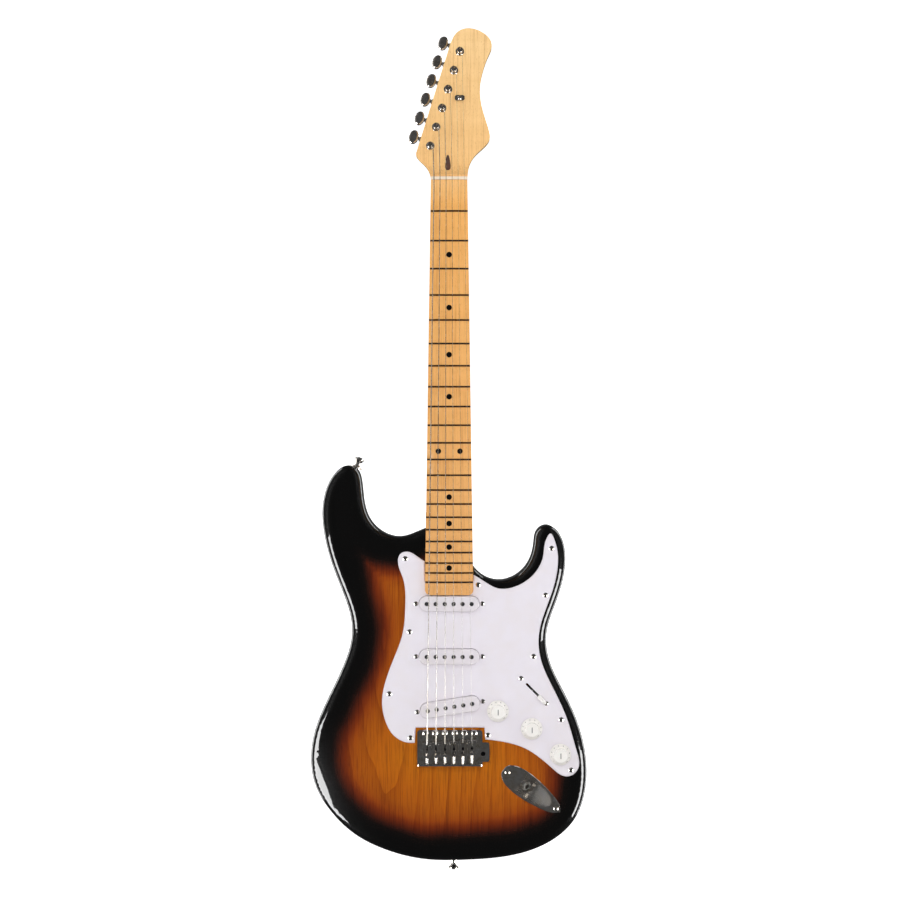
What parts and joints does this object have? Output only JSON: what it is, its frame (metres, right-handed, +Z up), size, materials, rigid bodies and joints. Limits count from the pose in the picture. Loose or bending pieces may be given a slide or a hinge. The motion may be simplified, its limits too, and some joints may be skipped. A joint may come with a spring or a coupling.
{
  "type": "electric guitar",
  "caption": "Solid-body electric guitar with two cutaways, bolt-on maple neck, single-coil pickups under closed covers and a rocking vibrato bridge.",
  "frame": {"origin": "middle of the nut's front edge on the plane the frets stand on, which is where a hanger's yoke carries the neck", "axes": "+Z up along the neck to the headstock, -Y is the front (string side), +X is the thin-string side seen from the front"},
  "size_m": [0.3225, 0.0645, 0.9828],
  "materials": {
    "sunburst_lacquer": "gloss clear coat over a two-colour sunburst",
    "maple": "gloss amber lacquer",
    "walnut": "gloss lacquer",
    "fret_wire": "polished",
    "nut_white": "satin",
    "dot_black": "gloss",
    "rod_steel": "plain",
    "nickel": "polished nickel plate",
    "guard_white": "gloss",
    "cover_white": "satin gloss",
    "knob_white": "gloss",
    "coil_red": "wound enamelled wire between fibre plates",
    "magnet": "ground",
    "tubing": "matte",
    "zinc_steel": "zinc plated",
    "lead_cloth": "cloth-covered wire",
    "block_grey": "painted steel",
    "string_steel": "plain and wound steel",
    "cover_plastic": "gloss"
  },
  "bodies": {
    "instrument": {"body": "sunburst_lacquer", "neck": "maple", "frets": "fret_wire", "nut": "nut_white", "fret_markers": "dot_black", "skunk_stripe": "walnut", "truss_rod": "rod_steel", "string_tree": "nickel", "neck_plate": "nickel", "neck_screws": "nickel", "tuner_housings": "nickel", "tuner_bushings": "nickel", "tuner_screws": "nickel", "pickguard": "guard_white", "plate_screws": "nickel", "pickup_covers": "cover_white", "pickup_coils": "coil_red", "pickup_magnets": "magnet", "pickup_tubes": "tubing", "machine_screws": "nickel", "switch_frame": "zinc_steel", "pot_cans": "zinc_steel", "pot_nuts": "nickel", "wiring_loom": "lead_cloth", "jack_plate": "nickel", "output_jack": "zinc_steel", "pivot_screws": "nickel", "tremolo_springs": "zinc_steel", "spring_claw": "zinc_steel", "claw_screws": "zinc_steel", "back_cover": "cover_plastic", "strings": "string_steel", "strap_buttons": "nickel"},
    "vibrato": {"bridge_plate": "nickel", "bridge_saddles": "nickel", "saddle_height_screws": "nickel", "intonation_screws": "nickel", "intonation_springs": "nickel", "tremolo_block": "block_grey", "block_screws": "zinc_steel"},
    "switch_arm": {"switch_lever": "zinc_steel", "switch_tip": "knob_white"},
    "volume_control": {"volume_knob": "knob_white", "volume_shaft": "zinc_steel"},
    "tone_1_control": {"tone_1_knob": "knob_white", "tone_1_shaft": "zinc_steel"},
    "tone_2_control": {"tone_2_knob": "knob_white", "tone_2_shaft": "zinc_steel"},
    "key_1": {"tuner_key_1": "nickel"},
    "post_1": {"tuner_post_1": "nickel"},
    "key_2": {"tuner_key_2": "nickel"},
    "post_2": {"tuner_post_2": "nickel"},
    "key_3": {"tuner_key_3": "nickel"},
    "post_3": {"tuner_post_3": "nickel"},
    "key_4": {"tuner_key_4": "nickel"},
    "post_4": {"tuner_post_4": "nickel"},
    "key_5": {"tuner_key_5": "nickel"},
    "post_5": {"tuner_post_5": "nickel"},
    "key_6": {"tuner_key_6": "nickel"},
    "post_6": {"tuner_post_6": "nickel"}
  },
  "joints": [
    {"name": "vibrato_pivot", "type": "hinge", "parent": "instrument", "child": "vibrato", "pos_m": [0.0008, 0.0043, -0.6411], "axis": [1, 0, 0], "range_deg": [-10, 3.5], "deforming": ["strings", "tremolo_springs"]},
    {"name": "selector_pivot", "type": "hinge", "parent": "instrument", "child": "switch_arm", "pos_m": [0.098, 0.0221, -0.5926], "axis": [0.7071, 0, 0.7071], "range_deg": [-64, 0]},
    {"name": "volume_turn", "type": "hinge", "parent": "instrument", "child": "volume_control", "pos_m": [0.0566, 0.0071, -0.616], "axis": [0, 1, 0], "range_deg": [-270, 0]},
    {"name": "tone_1_turn", "type": "hinge", "parent": "instrument", "child": "tone_1_control", "pos_m": [0.0958, 0.0071, -0.6365], "axis": [0, 1, 0], "range_deg": [-270, 0]},
    {"name": "tone_2_turn", "type": "hinge", "parent": "instrument", "child": "tone_2_control", "pos_m": [0.129, 0.0071, -0.6664], "axis": [0, 1, 0], "range_deg": [-270, 0]},
    {"name": "key_1_turn", "type": "hinge", "parent": "instrument", "child": "key_1", "pos_m": [0.01447, 0.0304, 0.1568], "axis": [-0.9542, 0, 0.299], "continuous": true},
    {"name": "key_2_turn", "type": "hinge", "parent": "instrument", "child": "key_2", "pos_m": [0.0076, 0.0304, 0.13485], "axis": [-0.9542, 0, 0.299], "continuous": true},
    {"name": "key_3_turn", "type": "hinge", "parent": "instrument", "child": "key_3", "pos_m": [0.00072, 0.0304, 0.1129], "axis": [-0.9542, 0, 0.299], "continuous": true},
    {"name": "key_4_turn", "type": "hinge", "parent": "instrument", "child": "key_4", "pos_m": [-0.00616, 0.0304, 0.09095], "axis": [-0.9542, 0, 0.299], "continuous": true},
    {"name": "key_5_turn", "type": "hinge", "parent": "instrument", "child": "key_5", "pos_m": [-0.01304, 0.0304, 0.06901], "axis": [-0.9542, 0, 0.299], "continuous": true},
    {"name": "key_6_turn", "type": "hinge", "parent": "instrument", "child": "key_6", "pos_m": [-0.01992, 0.0304, 0.04706], "axis": [-0.9542, 0, 0.299], "continuous": true},
    {"name": "post_1_turn", "type": "hinge", "parent": "instrument", "child": "post_1", "pos_m": [0.0125, 0.0112, 0.1505], "axis": [0, 1, 0], "continuous": true},
    {"name": "post_2_turn", "type": "hinge", "parent": "instrument", "child": "post_2", "pos_m": [0.00562, 0.0112, 0.12855], "axis": [0, 1, 0], "continuous": true},
    {"name": "post_3_turn", "type": "hinge", "parent": "instrument", "child": "post_3", "pos_m": [-0.00126, 0.0112, 0.10661], "axis": [0, 1, 0], "continuous": true},
    {"name": "post_4_turn", "type": "hinge", "parent": "instrument", "child": "post_4", "pos_m": [-0.00813, 0.0112, 0.08466], "axis": [0, 1, 0], "continuous": true},
    {"name": "post_5_turn", "type": "hinge", "parent": "instrument", "child": "post_5", "pos_m": [-0.01501, 0.0112, 0.06271], "axis": [0, 1, 0], "continuous": true},
    {"name": "post_6_turn", "type": "hinge", "parent": "instrument", "child": "post_6", "pos_m": [-0.02189, 0.0112, 0.04076], "axis": [0, 1, 0], "continuous": true}
  ],
  "couplings": [
    {"joint": "post_1_turn", "follows": "key_1_turn", "ratio": 0.066667},
    {"joint": "post_2_turn", "follows": "key_2_turn", "ratio": 0.066667},
    {"joint": "post_3_turn", "follows": "key_3_turn", "ratio": 0.066667},
    {"joint": "post_4_turn", "follows": "key_4_turn", "ratio": 0.066667},
    {"joint": "post_5_turn", "follows": "key_5_turn", "ratio": 0.066667},
    {"joint": "post_6_turn", "follows": "key_6_turn", "ratio": 0.066667}
  ]
}
